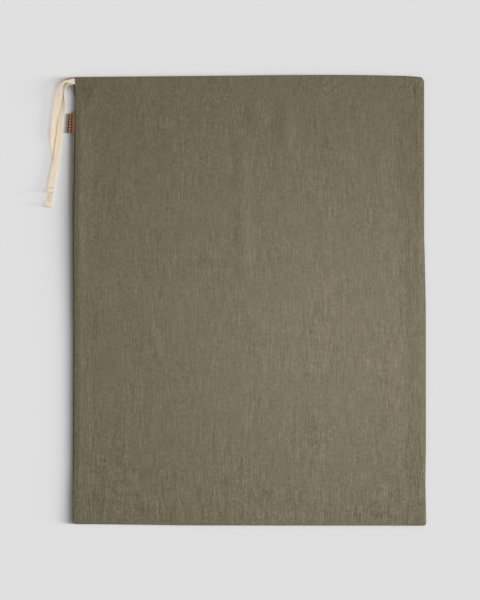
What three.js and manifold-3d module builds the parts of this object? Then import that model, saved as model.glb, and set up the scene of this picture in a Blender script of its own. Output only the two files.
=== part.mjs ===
// Drawstring laundry bag of plain linen, lying empty and flat with its front panel up.
// Millimetres. X runs across the bag, Y from its bottom to its mouth, Z up from the surface.
// The origin is the middle of the underside.

import * as THREE from "three";
import { mergeVertices } from "three/addons/utils/BufferGeometryUtils.js";
import Module from "manifold-3d";

const wasm = await Module();
wasm.setup();
const { clamp, degToRad, lerp, smoothstep } = THREE.MathUtils;

// The bag.
const BAG_WIDTH = 550;
const BAG_LENGTH = 703;
const CLOTH = 1;
const SEWN_GAP = 0.3;
const SEAM_HEIGHT = 3;
const EDGE_HEIGHT = 5.8;
const CORNER_RADIUS = 5;

// The casing: the top of each panel turned inwards and stitched down.
const CASING_DEPTH = 19;
const HEM_DEPTH = 22.5;
const CHANNEL_HEIGHT = 2;
const MOUTH_GAP = 0.4;
const HEM_END_INSET = 10.5;

// The drawstring, a flat cotton tape.
const TAPE_WIDTH = 10;
const TAPE = 1.4;
const TAPE_BELOW_TOP = { front: 7, turn: 9.9, back: 9.7 };
const TAPE_TURN_INSET = 10;
const TAPE_STEPS = { casing: 13, end: 30 };

// The woven label in the left-hand seam.
const LABEL = 1;
const LABEL_LENGTH = 30;
const LABEL_TOP = 291;
const LABEL_LEAN = 2.4;

// Heights of the middle of each layer above the surface.
const HALF = CLOTH / 2;
const LAYER_STEP = CLOTH + CHANNEL_HEIGHT;
const FOLD_RADIUS = LAYER_STEP / 2;
const BACK_OUTER = HALF;
const BACK_INNER = BACK_OUTER + LAYER_STEP;
const MOUTH_HEIGHT = BACK_INNER + HALF + MOUTH_GAP / 2;
const FRONT_INNER = MOUTH_HEIGHT + MOUTH_GAP / 2 + HALF;
const FRONT_OUTER = FRONT_INNER + LAYER_STEP;
const FRONT_EDGE = EDGE_HEIGHT - HALF;
const STITCHED_FRONT = FRONT_INNER + CLOTH + SEWN_GAP;
const STITCHED_BACK = BACK_OUTER + CLOTH + SEWN_GAP;

// The outline, which is a little out of square.
const TOP_EDGE = [
  { x: -275, y: 348.3 },
  { x: -76, y: 350.1 },
  { x: 120, y: 351.7 },
  { x: 242, y: 350.3 },
  { x: 275, y: 349.4 },
];
const BOTTOM_EDGE = [
  { x: -275, y: -348.8 },
  { x: -157, y: -350.2 },
  { x: -82, y: -351.1 },
  { x: 275, y: -351.5 },
];
const RIGHT_EDGE = [
  { y: -352, x: 275.6 },
  { y: -281, x: 274.4 },
  { y: -234, x: 275.1 },
  { y: -32, x: 275 },
  { y: 68, x: 273.4 },
  { y: 109, x: 272.4 },
  { y: 352, x: 272.3 },
];
// The left-hand seam line, and how far the back panel shows beyond it.
const LEFT_EDGE = [
  { y: -352, x: -275.4, peek: 0 },
  { y: -94, x: -274.7, peek: 0.3 },
  { y: 0, x: -274.1, peek: 1.5 },
  { y: 124, x: -273.5, peek: 2.4 },
  { y: 260, x: -272.4, peek: 3 },
  { y: 300, x: -272.4, peek: 0.6 },
  { y: 320, x: -272, peek: 0.8 },
  { y: 332, x: -271.4, peek: 4 },
  { y: 352, x: -271.3, peek: 3.2 },
];

// Across an edge, from the seam inwards: rise is the share of the way from the seam to the
// panel's own height, bulge the share of the peek, dip how much lower the edge lies where it
// peeks out, open the inset of the same place where the edge is not sewn.
const FRONT_SIDE = [
  { inset: 0.5, rise: 0, bulge: 0, dip: 0, open: 0 },
  { inset: 0.8, rise: 0.5, bulge: 0, dip: 0, open: 0.8 },
  { inset: 1.8, rise: 0.85, bulge: 0, dip: 0, open: 2 },
  { inset: 8, rise: 1, bulge: 0, dip: 0, open: 8 },
];
const BACK_SIDE = [
  { inset: 0.5, rise: 0, bulge: 0.3, dip: 0.4, open: 0 },
  { inset: 0.8, rise: 0.5, bulge: 1, dip: 0, open: 0.8 },
  { inset: 1.4, rise: 0.92, bulge: 0.9, dip: 0, open: 1.7 },
  { inset: 2.8, rise: 1, bulge: 0.62, dip: 0, open: 3.2 },
  { inset: 8, rise: 1, bulge: 0, dip: 0, open: 8 },
];
const FRONT_BOTTOM = [
  { inset: 0.5, rise: 0 },
  { inset: 0.9, rise: 0.45 },
  { inset: 2, rise: 0.75 },
  { inset: 16, rise: 1 },
];
// The front panel sinks between the ridges that the seam allowances make at its sides.
const FRONT_SAG = [
  { inset: 8, height: 1 },
  { inset: 22, height: 0.7 },
  { inset: 50, height: 0.56 },
];
const BACK_SAG = [
  { inset: 8, height: 1 },
  { inset: 50, height: 1 },
];

// Up the mouth end of a panel: down is the distance below the top edge, height that of the
// cloth, seam that of the side seams, left and right 0 where that seam is open, flat 1
// where the casing holds the cloth level, short how far the cloth stops before the
// right-hand edge.
const bodyRow = (y, height) => ({ y, height, seam: SEAM_HEIGHT, flat: 0, left: 1, right: 1, short: 0 });
const easeRow = (down, height, share) => ({
  y: BAG_LENGTH / 2 - down,
  height,
  seam: lerp(SEAM_HEIGHT, MOUTH_HEIGHT, share),
  flat: share,
  left: 1 - share,
  right: 1,
  short: 0,
});
const hemRow = (down, height, right, short) => ({
  y: BAG_LENGTH / 2 - down,
  height,
  seam: MOUTH_HEIGHT,
  flat: 1,
  left: 0,
  right,
  short,
});
// The fold at the top edge, half a turn, which rounds the right-hand corner.
const FOLD = [
  { turn: 0, right: 0.6, short: 2.7 },
  { turn: 45, right: 0.3, short: 4 },
  { turn: 90, right: 0, short: 5.5 },
  { turn: 135, right: 0, short: 8 },
  { turn: 180, right: 0, short: HEM_END_INSET },
];
const foldRows = (outer, inner) =>
  FOLD.map(({ turn, right, short }) => {
    const down = HALF + FOLD_RADIUS * (1 - Math.sin(degToRad(turn)));
    const height = (outer + inner) / 2 + ((outer - inner) / 2) * Math.cos(degToRad(turn));
    return hemRow(down, height, right, short);
  });
const FRONT_MOUTH = [
  easeRow(60, FRONT_EDGE, 0),
  easeRow(42, FRONT_EDGE + 0.2, 0.35),
  easeRow(31, FRONT_EDGE + 0.5, 0.8),
  hemRow(HEM_DEPTH + 2, STITCHED_FRONT, 1, 0),
  hemRow(CASING_DEPTH, STITCHED_FRONT, 1, 0),
  hemRow(CASING_DEPTH - 4, FRONT_OUTER - 0.1, 1, 0),
  hemRow(8, FRONT_OUTER, 1, 0),
  hemRow(4, FRONT_OUTER, 0.9, 1.1),
  ...foldRows(FRONT_OUTER, FRONT_INNER),
  hemRow(8, FRONT_INNER, 0, HEM_END_INSET),
  hemRow(HEM_DEPTH, FRONT_INNER, 0, HEM_END_INSET),
];
const BACK_MOUTH = [
  easeRow(60, BACK_OUTER, 0),
  easeRow(42, BACK_OUTER, 0.35),
  easeRow(31, BACK_OUTER, 0.8),
  hemRow(HEM_DEPTH + 2, BACK_OUTER, 1, 0),
  hemRow(8, BACK_OUTER, 1, 0),
  hemRow(4, BACK_OUTER, 0.9, 1.1),
  ...foldRows(BACK_OUTER, BACK_INNER),
  hemRow(8, BACK_INNER, 0, HEM_END_INSET),
  hemRow(CASING_DEPTH - 4, BACK_INNER, 0, HEM_END_INSET),
  hemRow(CASING_DEPTH, STITCHED_BACK, 0, HEM_END_INSET),
  hemRow(HEM_DEPTH, STITCHED_BACK, 0, HEM_END_INSET),
];

// Soft creases of the front panel, ridges or troughs, from one end to the other.
const CREASES = [
  { fromX: -8, fromY: 262, toX: -7, toY: -5, width: 13, height: 0.9 },
  { fromX: 7, fromY: -120, toX: 7, toY: -240, width: 13, height: -0.7 },
];
// Broad waves of the front panel, by their lengths across and along the bag.
const WAVES = [
  { across: 430, along: 900, phase: 0.6, height: 0.35 },
  { across: -260, along: 520, phase: 2.1, height: 0.25 },
];

// How far in from the seams the creases and waves begin, and where they reach full height.
const LOOSE = { side: { from: 8, to: 60 }, bottom: { from: 4, to: 40 } };

// The two free ends of the drawstring, from the casing to the knot: turn tilts the tape
// about its own run, inner edge up where it is positive, and width is less where the tape
// is gathered as it leaves the casing.
const OUTER_END = [
  { x: -272.2, y: 341.4, z: 6.4, turn: 0, width: 10 },
  { x: -279, y: 341.4, z: 6.6, turn: 0, width: 7.6 },
  { x: -286, y: 341.4, z: 6.6, turn: 5, width: 4.8 },
  { x: -291, y: 338, z: 6.3, turn: 8, width: 5.4 },
  { x: -294.7, y: 331.8, z: 5.7, turn: 8, width: 6.6 },
  { x: -297.3, y: 324, z: 4.9, turn: 6, width: 8 },
  { x: -299.4, y: 315.5, z: 4.1, turn: 3, width: 8.6 },
  { x: -300.8, y: 307, z: 3.3, turn: 0, width: 8.8 },
  { x: -302.5, y: 295.5, z: 2.6, turn: -6, width: 9.3 },
  { x: -303.9, y: 280.3, z: 2.2, turn: -13, width: 9.8 },
  { x: -305.5, y: 264.7, z: 2.2, turn: -14, width: 10 },
  { x: -305.7, y: 249, z: 1.4, turn: -7, width: 10 },
  { x: -304.2, y: 233, z: 0.9, turn: 0, width: 10 },
  { x: -302.5, y: 217, z: 0.9, turn: 0, width: 10 },
  { x: -304.4, y: 201, z: 0.9, turn: 0, width: 10 },
  { x: -307.2, y: 187, z: 1, turn: 0, width: 10 },
  { x: -309.2, y: 176.8, z: 1.2, turn: 0, width: 9 },
];
const INNER_END = [
  { x: -276.6, y: 338.6, z: 2, turn: 0, width: 10 },
  { x: -280.2, y: 338.6, z: 2.2, turn: 6, width: 8 },
  { x: -284.4, y: 337, z: 3.1, turn: 24, width: 6.6 },
  { x: -287.4, y: 332.2, z: 4, turn: 46, width: 6.6 },
  { x: -289.4, y: 326.6, z: 4.3, turn: 58, width: 7 },
  { x: -290.3, y: 318, z: 4.1, turn: 44, width: 7.2 },
  { x: -290.7, y: 309.5, z: 3.8, turn: 24, width: 7.8 },
  { x: -291.8, y: 299, z: 3.9, turn: 12, width: 9.4 },
  { x: -294, y: 281.5, z: 3.8, turn: 8, width: 10 },
  { x: -295.8, y: 264.7, z: 3.1, turn: 2, width: 10 },
  { x: -297.9, y: 249, z: 2.75, turn: 0, width: 10 },
  { x: -299.7, y: 233, z: 2.75, turn: 0, width: 10 },
  { x: -302, y: 217, z: 2.75, turn: 0, width: 10 },
  { x: -304.8, y: 201, z: 2.75, turn: 0, width: 10 },
  { x: -307.6, y: 187, z: 2.9, turn: 0, width: 10 },
  { x: -309.4, y: 177, z: 3.1, turn: 0, width: 9 },
];
// The knot, a band drawn tight round both ends, and the two cut ends below it.
const KNOT = { x: -310.2, y: 172.6, z: 2.9, width: 11.4, length: 7.8, height: 5.4, square: 0.75 };
const TAILS = [
  { fromX: -308.4, fromY: 170, toX: -316, toY: 147.4, fromZ: 3, toZ: 2.5, from: 5.4, to: 8 },
  { fromX: -307.6, fromY: 170, toX: -312.4, toY: 144.8, fromZ: 1.5, toZ: 0.8, from: 5.4, to: 7 },
];

// The label's section, out from the seam and down towards the surface.
const LABEL_SECTION = [
  { out: 0.35, z: 3.85 },
  { out: 2.6, z: 3.85 },
  { out: 4.2, z: 3.3 },
  { out: 7, z: 2.2 },
  { out: 9.6, z: 1.1 },
];

// One column of a table at a place in another, straight between the rows.
function lookUp(table, key, column, at) {
  let row = 1;
  while (row < table.length - 1 && table[row][key] < at) row += 1;
  const before = table[row - 1];
  const share = clamp((at - before[key]) / (table[row][key] - before[key]), 0, 1);
  return lerp(before[column], table[row][column], share);
}

// Evenly spaced places from one end to the other, with both ends.
function spread(from, to, steps) {
  return Array.from({ length: steps + 1 }, (_, step) => lerp(from, to, step / steps));
}

// A closed sheet: a box one cell thick whose corners move to half the thickness on
// either side of a middle surface, given as a point for each column and row.
function sheet(columns, rows, thickness, middle) {
  const across = columns.length - 1;
  const along = rows.length - 1;
  const box = new THREE.BoxGeometry(across, along, 1, across, along, 1);
  box.deleteAttribute("normal");
  box.deleteAttribute("uv");
  const solid = mergeVertices(box);
  const grid = columns.map((column) => rows.map((row) => middle(column, row)));
  const facing = grid.slice(1).map((after, column) =>
    after.slice(1).map((corner, row) => {
      const rising = corner.clone().sub(grid[column][row]);
      const falling = grid[column][row + 1].clone().sub(after[row]);
      return rising.cross(falling).normalize();
    }),
  );
  const corners = solid.getAttribute("position");
  for (let corner = 0; corner < corners.count; corner += 1) {
    const column = Math.round(corners.getX(corner) + across / 2);
    const row = Math.round(corners.getY(corner) + along / 2);
    const normal = new THREE.Vector3();
    for (const cells of facing.slice(Math.max(column - 1, 0), column + 1)) {
      for (const cell of cells.slice(Math.max(row - 1, 0), row + 1)) normal.add(cell);
    }
    const offset = Math.sign(corners.getZ(corner)) * (thickness / 2);
    const place = grid[column][row].clone().addScaledVector(normal.normalize(), offset);
    corners.setXYZ(corner, place.x, place.y, place.z);
  }
  return solid;
}

// Rounds a corner of the plan: the square at the corner goes to a quarter of a disc.
function roundCorner(point, edgeX, edgeY, radius) {
  const outX = Math.sign(edgeX) * radius;
  const outY = Math.sign(edgeY) * radius;
  const a = (point.x - edgeX) / outX + 1;
  const b = (point.y - edgeY) / outY + 1;
  if (a <= 0 || b <= 0) return;
  point.x = edgeX + outX * (a * Math.sqrt(1 - (b * b) / 2) - 1);
  point.y = edgeY + outY * (b * Math.sqrt(1 - (a * a) / 2) - 1);
}

// Height that the creases and waves add at a place on the front panel.
function crumple(x, y) {
  let height = 0;
  for (const crease of CREASES) {
    const run = new THREE.Vector2(crease.toX - crease.fromX, crease.toY - crease.fromY);
    const place = new THREE.Vector2(x - crease.fromX, y - crease.fromY);
    const share = clamp(place.dot(run) / run.lengthSq(), 0, 1);
    const off = place.cross(run) / run.length() / crease.width;
    height += crease.height * Math.exp(-off * off) * Math.sqrt(Math.sin(Math.PI * share));
  }
  for (const wave of WAVES) {
    height += wave.height * Math.sin(2 * Math.PI * (x / wave.across + y / wave.along) + wave.phase);
  }
  return height;
}

// One panel of the bag, sewn at its sides and bottom and turned in at its top.
function panel(kind, columns, rows) {
  const ridge = kind.side.at(-1).inset;
  return sheet(columns, rows, CLOTH, (x, row) => {
    const onLeft = x < 0;
    const inset = BAG_WIDTH / 2 - Math.abs(x);
    const open = inset < ridge ? 1 - (onLeft ? row.left : row.right) : 0;
    const laid = open > 0 ? lerp(inset, lookUp(kind.side, "inset", "open", inset), open) : inset;
    const across = Math.sign(x) * (0.5 - laid / BAG_WIDTH) + 0.5;
    const left = lookUp(LEFT_EDGE, "y", "x", row.y);
    const right = lookUp(RIGHT_EDGE, "y", "x", row.y) - row.short;
    const point = new THREE.Vector3(lerp(left, right, across), 0, 0);
    const top = lookUp(TOP_EDGE, "x", "y", point.x);
    const bottom = lookUp(BOTTOM_EDGE, "x", "y", point.x);
    point.y = lerp(bottom, top, row.y / BAG_LENGTH + 0.5);

    const up = BAG_LENGTH / 2 + row.y;
    const side = lerp(lookUp(kind.side, "inset", "rise", inset), 1, open);
    const rise = Math.min(side, lookUp(kind.bottom, "inset", "rise", up));
    const sag = lerp(lookUp(kind.sag, "inset", "height", inset), 1, row.flat);
    const fromSide = smoothstep(inset, LOOSE.side.from, LOOSE.side.to);
    const fromBottom = smoothstep(up, LOOSE.bottom.from, LOOSE.bottom.to);
    const loose = kind.loose * (1 - row.flat) * fromSide * fromBottom;
    point.z = lerp(row.seam + kind.seamOffset, row.height, rise * sag);
    point.z += loose * crumple(point.x, point.y);

    if (onLeft && inset < ridge) {
      const peek = lookUp(LEFT_EDGE, "y", "peek", row.y);
      const sewnBulge = lookUp(kind.side, "inset", "bulge", inset);
      const openBulge = kind.overhang * (1 - laid / ridge);
      point.x -= peek * lerp(sewnBulge, openBulge, open);
      point.z -= Math.min(peek, 1) * (1 - open) * lookUp(kind.side, "inset", "dip", inset);
    }
    roundCorner(point, right, bottom, CORNER_RADIUS);
    roundCorner(point, left, bottom, CORNER_RADIUS);
    return point;
  });
}

// Places across a panel: close together over its rolled sides, spread between them.
function panelColumns(insets, middle) {
  const left = insets.map((inset) => inset - BAG_WIDTH / 2);
  return [...left, ...middle, ...left.map((x) => -x).reverse()];
}

// Rows of a panel, from the bottom seam to the end of the hem.
function panelRows(bottom, height, middle, mouth) {
  const roll = bottom.map(({ inset }) => bodyRow(inset - BAG_LENGTH / 2, height));
  return [...roll, ...middle.map((y) => bodyRow(y, height)), ...mouth];
}

// A length of tape along a route, with the turn and the width of its rows.
function tape(route, steps) {
  const spots = route.map(({ x, y, z }) => new THREE.Vector3(x, y, z));
  const line = new THREE.CatmullRomCurve3(spots, false, "centripetal");
  const lastSpot = route.length - 1;
  return sheet(spread(-0.5, 0.5, 2), spread(0, 1, steps), TAPE, (across, along) => {
    const spot = Math.min(Math.floor(along * lastSpot), lastSpot - 1);
    const [before, after] = route.slice(spot, spot + 2);
    const share = along * lastSpot - spot;
    const turn = degToRad(lerp(before.turn, after.turn, share));
    const off = across * lerp(before.width, after.width, share);
    const run = line.getTangent(along);
    const inward = new THREE.Vector3(0, 0, 1).cross(run).normalize();
    const upward = run.clone().cross(inward);
    const point = line.getPoint(along);
    point.addScaledVector(inward, off * Math.cos(turn));
    return point.addScaledVector(upward, off * Math.sin(turn));
  });
}

// The part of the tape inside the casings: along the front, round the right-hand end
// between the seam and the hems, and back.
function tapeInCasing(steps) {
  const frontHeight = (FRONT_INNER + FRONT_OUTER) / 2;
  const backHeight = (BACK_INNER + BACK_OUTER) / 2;
  const radius = (frontHeight - backHeight) / 2;
  const turnX = lookUp(RIGHT_EDGE, "y", "x", BAG_LENGTH / 2) - TAPE_TURN_INSET;
  const below = TAPE_BELOW_TOP;
  const front = spread(0, 1, steps).map((share) => ({
    x: lerp(OUTER_END[0].x + SEWN_GAP, turnX, share),
    z: frontHeight,
    down: lerp(below.front, below.turn, share),
  }));
  const round = spread(0, Math.PI, 6).slice(1, -1).map((turn) => ({
    x: turnX + radius * Math.sin(turn),
    z: MOUTH_HEIGHT + radius * Math.cos(turn),
    down: below.turn,
  }));
  const back = spread(0, 1, steps).map((share) => ({
    x: lerp(turnX, INNER_END[0].x + SEWN_GAP, share),
    z: backHeight,
    down: lerp(below.turn, below.back, share),
  }));
  return sheet(spread(-0.5, 0.5, 2), [...front, ...round, ...back], TAPE, (across, { x, z, down }) => {
    const middle = lookUp(TOP_EDGE, "x", "y", Math.min(x, turnX)) - down;
    return new THREE.Vector3(x, middle + across * TAPE_WIDTH, z);
  });
}

// The knot and its two flared tails, in one.
function knot() {
  const ball = new THREE.SphereGeometry(1, 16, 10);
  const corners = ball.getAttribute("position");
  const square = (value) => Math.sign(value) * Math.abs(value) ** KNOT.square;
  for (let corner = 0; corner < corners.count; corner += 1) {
    const x = KNOT.x + (square(corners.getX(corner)) * KNOT.width) / 2;
    const y = KNOT.y + (square(corners.getY(corner)) * KNOT.length) / 2;
    const z = KNOT.z + (square(corners.getZ(corner)) * KNOT.height) / 2;
    corners.setXYZ(corner, x, y, z);
  }
  ball.deleteAttribute("normal");
  ball.deleteAttribute("uv");
  const tails = TAILS.map((tail) =>
    sheet(spread(-0.5, 0.5, 2), spread(0, 1, 4), TAPE, (across, along) => {
      const width = lerp(tail.from, tail.to, along);
      const x = lerp(tail.fromX, tail.toX, along) + across * width;
      return new THREE.Vector3(x, lerp(tail.fromY, tail.toY, along), lerp(tail.fromZ, tail.toZ, along));
    }),
  );
  return join([mergeVertices(ball), ...tails]);
}

// Several closed shapes as one solid.
function join(shapes) {
  const solids = shapes.map((shape) => {
    const vertProperties = Float32Array.from(shape.getAttribute("position").array);
    const triVerts = Uint32Array.from(shape.getIndex().array);
    return new wasm.Manifold(new wasm.Mesh({ numProp: 3, vertProperties, triVerts }));
  });
  const mesh = wasm.Manifold.union(solids).getMesh();
  const joined = new THREE.BufferGeometry();
  joined.setAttribute("position", new THREE.BufferAttribute(Float32Array.from(mesh.vertProperties), 3));
  joined.setIndex(new THREE.BufferAttribute(Uint32Array.from(mesh.triVerts), 1));
  return joined;
}

// The label, which comes out of the left-hand seam and leans down to the surface.
function label() {
  return sheet(LABEL_SECTION, spread(0, 1, 4), LABEL, ({ out, z }, along) => {
    const y = LABEL_TOP - LABEL_LENGTH * (1 - along);
    const lean = LABEL_LEAN * (1 - along) * (out / LABEL_SECTION.at(-1).out);
    return new THREE.Vector3(lookUp(LEFT_EDGE, "y", "x", y) - out - lean, y, z);
  });
}

const FRONT = {
  side: FRONT_SIDE,
  bottom: FRONT_BOTTOM,
  sag: FRONT_SAG,
  seamOffset: SEWN_GAP,
  overhang: 0,
  loose: 1,
};
const BACK = {
  side: BACK_SIDE,
  bottom: BACK_SIDE,
  sag: BACK_SAG,
  seamOffset: -SEWN_GAP,
  overhang: 1,
  loose: 0,
};

// Places across and up each panel between its rolled edges, closer over the centre ridge.
const frontInsets = [...FRONT_SIDE, ...FRONT_SAG.slice(1)].map(({ inset }) => inset);
const frontLeft = spread(-198, -54, 5);
const frontRidge = spread(-32, 32, 6);
const frontRight = spread(54, 198, 5);
const frontColumns = panelColumns(frontInsets, [...frontLeft, ...frontRidge, ...frontRight]);
const frontRows = panelRows(FRONT_BOTTOM, FRONT_EDGE, spread(-300, 262, 17), FRONT_MOUTH);
const backInsets = BACK_SIDE.map(({ inset }) => inset);
const backColumns = panelColumns(backInsets, spread(-198, 198, 6));
const backRows = panelRows(BACK_SIDE, BACK_OUTER, spread(-281, 260, 8), BACK_MOUTH);

const LINEN = { color: "#736c5a", roughness: 0.92, metalness: 0 };
const COTTON = { color: "#e6d3b8", roughness: 0.88, metalness: 0 };
const WOVEN_RIBBON = { color: "#5b2a1c", roughness: 0.75, metalness: 0 };

const bag = new THREE.Group();
bag.name = "drawstring_laundry_bag";
function add(name, geometry, finish) {
  const piece = new THREE.Mesh(geometry, new THREE.MeshStandardMaterial(finish));
  piece.name = name;
  bag.add(piece);
}
add("front_panel", panel(FRONT, frontColumns, frontRows), LINEN);
add("back_panel", panel(BACK, backColumns, backRows), LINEN);
add("label", label(), WOVEN_RIBBON);
add("drawstring_in_casing", tapeInCasing(TAPE_STEPS.casing), COTTON);
add("drawstring_outer_end", tape(OUTER_END, TAPE_STEPS.end), COTTON);
add("drawstring_inner_end", tape(INNER_END, TAPE_STEPS.end), COTTON);
add("drawstring_knot", knot(), COTTON);

export default bag;
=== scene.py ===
"""A drawstring laundry bag of slub linen, lying empty and flat with its front panel up.

Metres. X runs across the bag, Y from its bottom seam to its mouth, Z up from the surface.
"""

import math
from bisect import bisect_right

import bmesh
import bpy
from mathutils import Matrix, Vector, noise


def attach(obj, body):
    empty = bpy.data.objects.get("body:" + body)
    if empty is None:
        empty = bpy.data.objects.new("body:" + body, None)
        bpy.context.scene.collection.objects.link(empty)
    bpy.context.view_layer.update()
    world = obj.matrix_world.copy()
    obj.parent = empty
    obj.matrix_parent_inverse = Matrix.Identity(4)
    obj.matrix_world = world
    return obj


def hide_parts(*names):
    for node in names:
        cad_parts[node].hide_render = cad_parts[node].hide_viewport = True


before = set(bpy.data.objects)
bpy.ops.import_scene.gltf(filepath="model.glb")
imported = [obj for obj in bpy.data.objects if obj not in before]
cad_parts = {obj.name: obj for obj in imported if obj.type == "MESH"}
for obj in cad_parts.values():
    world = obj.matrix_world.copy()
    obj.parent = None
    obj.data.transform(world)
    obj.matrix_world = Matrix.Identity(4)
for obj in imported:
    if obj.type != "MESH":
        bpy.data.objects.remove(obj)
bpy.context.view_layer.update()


# Front panel.
# One cut of slub linen, sewn to the back at its sides and bottom, turned and pressed flat.
# Its top is folded inwards and stitched down as a casing, open at the left-hand end.

BAG_WIDTH = 0.550
BAG_LENGTH = 0.703
CLOTH = 0.0008
SEWN_GAP = 0.0003
CORNER_RADIUS = 0.005

# Heights of the middle of each layer above the surface.
SEAM_HEIGHT = 0.0030
MOUTH_HEIGHT = 0.0042
FRONT_EDGE = 0.0056
FRONT_INNER = 0.0049
FRONT_OUTER = 0.0079
FRONT_STITCHED = 0.0066

CASING_DEPTH = 0.0190
HEM_DEPTH = 0.0225
HEM_END_INSET = 0.0105
FOLD_TOP = 0.0005
FOLD_RADIUS = 0.0015


def table(columns, *rows):
    """Rows of values under the names of their columns."""
    return [dict(zip(columns.split(), row)) for row in rows]


def lerp(start, end, share):
    return start + (end - start) * share


def ease(value, start, end):
    """A soft step, 0 before start and 1 after end."""
    share = min(max((value - start) / (end - start), 0), 1)
    return share * share * (3 - 2 * share)


def smooth_line(rows, key, column):
    """A column of a table as a smooth function of another, level where its rows turn."""
    at = [row[key] for row in rows]
    values = [row[column] for row in rows]
    rates = [(values[i + 1] - values[i]) / (at[i + 1] - at[i]) for i in range(len(rows) - 1)]
    inner = [2 * a * b / (a + b) if a * b > 0 else 0 for a, b in zip(rates, rates[1:])]
    slopes = [rates[0], *inner, rates[-1]]

    def line(place):
        place = min(max(place, at[0]), at[-1])
        i = min(bisect_right(at, place), len(at) - 1) - 1
        span = at[i + 1] - at[i]
        t = (place - at[i]) / span
        start = (1 + 2 * t) * values[i] + t * span * slopes[i]
        end = (3 - 2 * t) * values[i + 1] + (t - 1) * span * slopes[i + 1]
        return start * (1 - t) ** 2 + end * t**2

    return line


# The outline, a little out of square, how far the back shows beyond the left-hand seam (peek),
# and how much lower that seam lies (low), or higher where the value is negative.
TOP_EDGE = table(
    "x y",
    (-0.275, 0.3483),
    (-0.076, 0.3501),
    (0.120, 0.3517),
    (0.236, 0.3504),
    (0.260, 0.3491),
    (0.275, 0.3474),
)
BOTTOM_EDGE = table(
    "x y", (-0.275, -0.3488), (-0.157, -0.3502), (-0.082, -0.3511), (0.275, -0.3515)
)
RIGHT_EDGE = table(
    "y x",
    (-0.352, 0.2756),
    (-0.281, 0.2744),
    (-0.234, 0.2751),
    (-0.032, 0.2750),
    (0.068, 0.2734),
    (0.109, 0.2724),
    (0.352, 0.2723),
)
LEFT_EDGE = table(
    "y x peek low",
    (-0.352, -0.2757, 0, 0.0002),
    (-0.310, -0.2759, 0.0004, 0.0003),
    (-0.250, -0.2744, 0.0011, 0.0006),
    (-0.125, -0.2741, 0.0011, 0.0006),
    (-0.063, -0.2738, 0.0013, 0.0005),
    (0.000, -0.2741, 0.0020, 0.0001),
    (0.080, -0.2743, 0.0023, -0.0005),
    (0.150, -0.2741, 0.0029, -0.0008),
    (0.193, -0.2731, 0.0038, -0.0005),
    (0.260, -0.2724, 0.0040, 0),
    (0.288, -0.2724, 0.0006, 0.0010),
    (0.300, -0.2724, 0.0006, 0.0013),
    (0.311, -0.2722, 0.0006, 0.0015),
    (0.320, -0.2720, 0.0008, 0.0023),
    (0.326, -0.2717, 0.0024, 0.0026),
    (0.332, -0.2717, 0.0037, 0.0021),
    (0.338, -0.2722, 0.0029, 0.0007),
    (0.352, -0.2722, 0.0023, 0.0003),
)
top_y = smooth_line(TOP_EDGE, "x", "y")
bottom_y = smooth_line(BOTTOM_EDGE, "x", "y")
right_x = smooth_line(RIGHT_EDGE, "y", "x")
left_x = smooth_line(LEFT_EDGE, "y", "x")
left_peek = smooth_line(LEFT_EDGE, "y", "peek")
left_low = smooth_line(LEFT_EDGE, "y", "low")

# Across an edge, from the seam inwards: rise is the share of the way from the seam to the
# panel's own height, droop how much less of it the left-hand side has, bulge the share of
# the peek, dip how much lower the edge lies where it peeks out, open the inset of the same
# place where the edge is not sewn.
FRONT_SIDE = table(
    "inset rise droop bulge dip open",
    (0.0003, 0, 0, 0, 0, 0),
    (0.0005, 0.35, 0.08, 0, 0, 0.0008),
    (0.0012, 0.52, 0.02, 0, 0, 0.0020),
    (0.0080, 1, 0, 0, 0, 0.0080),
)
FRONT_BOTTOM = table("inset rise", (0.0003, 0), (0.0007, 0.35), (0.0030, 0.74), (0.0160, 1))
# The cloth sinks between the ridges that the seam allowances make at its sides.
FRONT_SAG = table(
    "inset height", (0.008, 1), (0.0105, 0.97), (0.0135, 0.76), (0.030, 0.36), (0.050, 0.28)
)
RIDGE = 0.008
DEEPEST_DIP = 0.001
# From where to where, in from the sides and the bottom, the cloth comes loose of its seams.
LOOSE_FROM_SIDE = (0.008, 0.030)
LOOSE_FROM_BOTTOM = (0.004, 0.040)


# Up a panel: cells is the number of cells to the next row, height that of the cloth, seam
# that of the side seams, flat 1 where the casing holds the cloth level, left and right 0
# where that seam is open, short how far the cloth stops before the right-hand edge.
def sewn_row(cells, up, height):
    row = {"cells": cells, "y": up - BAG_LENGTH / 2, "height": height, "seam": SEAM_HEIGHT}
    return row | {"flat": 0, "left": 1, "right": 1, "short": 0}


def easing_row(cells, down, height, share):
    seam = lerp(SEAM_HEIGHT, MOUTH_HEIGHT, share)
    row = {"cells": cells, "y": BAG_LENGTH / 2 - down, "height": height, "seam": seam}
    return row | {"flat": share, "left": 1 - share, "right": 1, "short": 0}


def hem_row(cells, down, height, right=1, short=0):
    row = {"cells": cells, "y": BAG_LENGTH / 2 - down, "height": height, "seam": MOUTH_HEIGHT}
    return row | {"flat": 1, "left": 0, "right": right, "short": short}


# The fold at the top edge, half a turn, which rounds the right-hand corner.
FOLD = table(
    "turn right short",
    (0, 0.6, 0.0027),
    (45, 0.3, 0.0040),
    (90, 0, 0.0055),
    (135, 0, 0.0080),
    (180, 0, HEM_END_INSET),
)


def fold_rows(outer, inner):
    """Rows round the fold, from the outer layer of a panel to its turned-in one."""
    rows = []
    for fold in FOLD:
        turn = math.radians(fold["turn"])
        down = FOLD_TOP + FOLD_RADIUS * (1 - math.sin(turn))
        height = (outer + inner) / 2 + (outer - inner) / 2 * math.cos(turn)
        rows.append(hem_row(2, down, height, fold["right"], fold["short"]))
    return rows


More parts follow.
